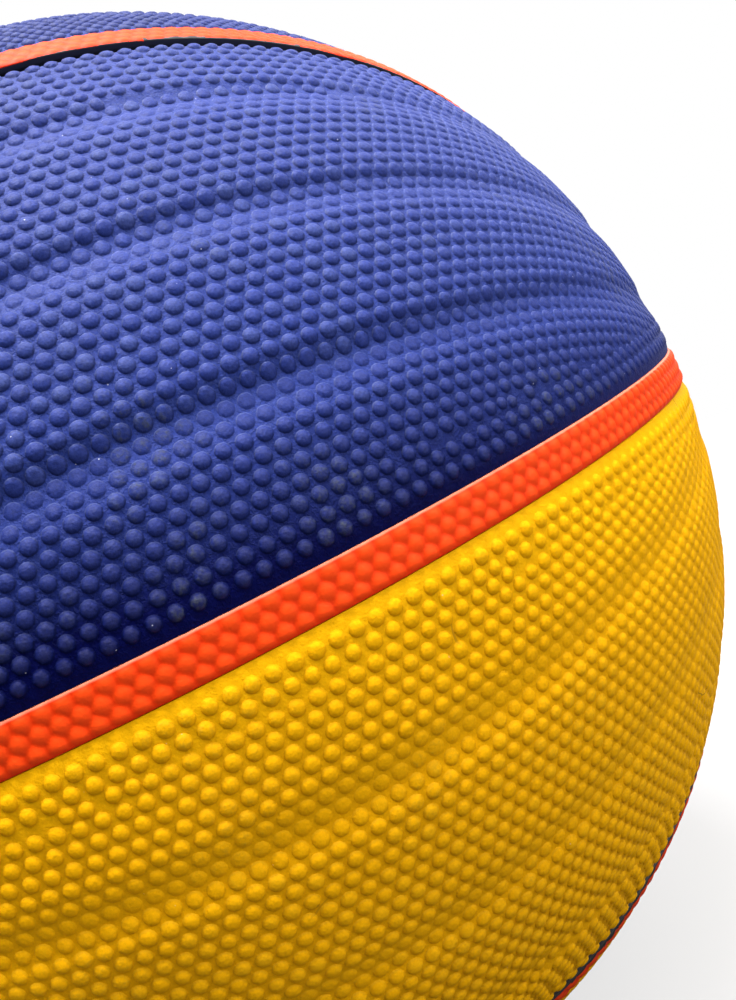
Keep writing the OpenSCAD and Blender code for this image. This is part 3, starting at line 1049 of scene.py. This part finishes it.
# each strip's seam, its length, whether it closes, and its mirror signs
stripEnd = stripHalf + strip["endGap"]
crown = crossSeam(ovalTurn(-stripEnd), math.pi - ovalTurn(-stripEnd))
side = crossSeam(stripEnd / ballR, ovalTurn(stripEnd))
strips = {
    "main_seam_strip": (mainSeam, 2 * math.pi * ballR, True, (1, 1, 1)),
    "upper_oval_strip": (ovalSeam, ovalLength[-1], True, (1, 1, 1)),
    "lower_oval_strip": (ovalSeam, ovalLength[-1], True, (-1, 1, -1)),
    "upper_crown_strip": (*crown, False, (1, 1, 1)),
    "lower_crown_strip": (*crown, False, (-1, 1, -1)),
    "upper_right_strip": (*side, False, (1, 1, 1)),
    "upper_left_strip": (*side, False, (-1, 1, 1)),
    "lower_right_strip": (*side, False, (1, 1, -1)),
    "lower_left_strip": (*side, False, (-1, 1, -1)),
}
for nodeName, (curve, length, closed, signs) in strips.items():
    rubbers = [orangeRubber, blackRubber]
    piece = seamStrip(nodeName + "_pebbled", curve, length, closed, signs, rubbers, "oval" in nodeName)
    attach(piece, "root")
    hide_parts(nodeName)
    print(nodeName, len(piece.data.polygons), "faces")

# the solids under the cover stay as they are and get a material
innerFinish = {
    "upper_carcass_half": blackRubber, "lower_carcass_half": blackRubber,
    "bladder": bladderRubber, "valve_patch": bladderRubber,
    "valve_body": valveRubber, "valve_core": valveRubber,
    "thread_winding": nylonThread,
}
for nodeName, material in innerFinish.items():
    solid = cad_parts[nodeName]
    solid.data.materials.clear()
    solid.data.materials.append(material)

# stage: pale floor under the ball; the camera sees it lighter than the ball does and white further out
stage = {
    "floorHalf": 3.0,  # metres
    "whiteNear": 0.7,  # share of white under the ball
    "floorPale": 0.1,
    "floorSeen": 0.6,
}
edge = stage["floorHalf"]
low = cadBox[0][2]
corners = np.array([(-edge, -edge, low), (edge, -edge, low), (edge, edge, low), (-edge, edge, low)]) / mm
floorMaterial, tree, shader = newMaterial("paleFloor")
seen = node(tree, "LightPath").outputs["Is Camera Ray"]
pale, lighter = ((stage[key],) * 3 for key in ("floorPale", "floorSeen"))
feed(tree, shader, "Base Color", mixColor(tree, seen, pale, lighter))
shader.inputs["Roughness"].default_value = 0.9
shader.inputs["Specular IOR Level"].default_value = 0.0
level = node(tree, "VectorMath", {0: objectSpace(tree), 1: (1.0, 1.0, 0.0)}, operation="MULTIPLY")
away = node(tree, "VectorMath", {0: level.outputs[0]}, operation="LENGTH").outputs["Value"]
far = times(tree, ramp(tree, away, "floorWhite", stage["whiteNear"]), seen)
white = node(tree, "Emission", {"Color": (1.0, 1.0, 1.0, 1.0), "Strength": 1.0})
both = node(tree, "MixShader", {0: far, 1: shader.outputs[0], 2: white.outputs[0]})
tree.links.new(both.outputs[0], tree.nodes["Material Output"].inputs["Surface"])
floor = meshObject("floor", corners, [(0, 1, 2, 3)], [floorMaterial])

# white for the camera, pale behind the ball in what it mirrors, nearly dark as a light
backdrop = {"seen": 1.0, "mirrored": 0.7, "light": 0.01}
world = bpy.data.worlds.new("studio")
bpy.context.scene.world = world
world.use_nodes = True
tree = world.node_tree
sky = tree.nodes["Background"]
sky.inputs["Color"].default_value = (1.0, 1.0, 1.0, 1.0)
path = node(tree, "LightPath")
behind = node(tree, "SeparateXYZ", {0: node(tree, "TexCoord").outputs["Generated"]}).outputs["Y"]
mirrored = times(tree, path.outputs["Is Glossy Ray"], ramp(tree, behind, "behind"))
strength = node(tree, "Mix", {0: mirrored, 2: backdrop["light"], 3: backdrop["mirrored"]}).outputs[0]
strength = node(tree, "Mix", {0: path.outputs["Is Camera Ray"], 2: strength, 3: backdrop["seen"]}).outputs[0]
tree.links.new(strength, sky.inputs["Strength"])

# soft lamps by place, power and size, in metres and watts; the strongest is on the ceiling
lamps = {
    "ceiling": ((0.0, -0.25, 2.2), 160.0, 1.4),
    "rightHigh": ((0.8, 0.1, 0.8), 8.5, 0.7),
    "frontHigh": ((-0.1, -0.8, 0.8), 6.0, 0.7),
    "frontRight": ((0.8, -0.7, 0.4), 8.5, 0.7),
    "backRight": ((0.75, 0.8, 0.2), 3.6, 0.7),
    "back": ((-0.7, 0.85, 0.35), 9.0, 0.7),
}
for name, (spot, power, size) in lamps.items():
    data = bpy.data.lights.new(name, "AREA")
    data.energy = power
    data.size = size
    made = bpy.data.objects.new(name, data)
    made.location = spot
    made.visible_glossy = name != "frontHigh"  # no grey sheen on the side that faces the camera
    made.rotation_euler = (-Vector(spot)).to_track_quat("-Z", "Y").to_euler()
    bpy.context.scene.collection.objects.link(made)

# camera close to the ball's front, rolled, with the ball low and left in the picture
photo = {
    "spot": (-9.84, -231.6, 17.97),
    "forward": (0.2347, 0.9682, -0.0866),
    "roll": 25.2,  # degrees
    "lens": 36.0,
    "sensor": 36.0,
}
camera = bpy.data.objects.new("camera", bpy.data.cameras.new("camera"))
bpy.context.scene.collection.objects.link(camera)
camera.location = Vector(photo["spot"]) * mm
straight = Vector(photo["forward"]).to_track_quat("-Z", "Y")
camera.rotation_mode = "QUATERNION"
camera.rotation_quaternion = straight @ Quaternion((0, 0, 1), -math.radians(photo["roll"]))
camera.data.lens = photo["lens"]
camera.data.sensor_width = photo["sensor"]
camera.data.clip_start = 0.005
bpy.context.scene.camera = camera
bpy.context.scene.view_settings.view_transform = "Standard"
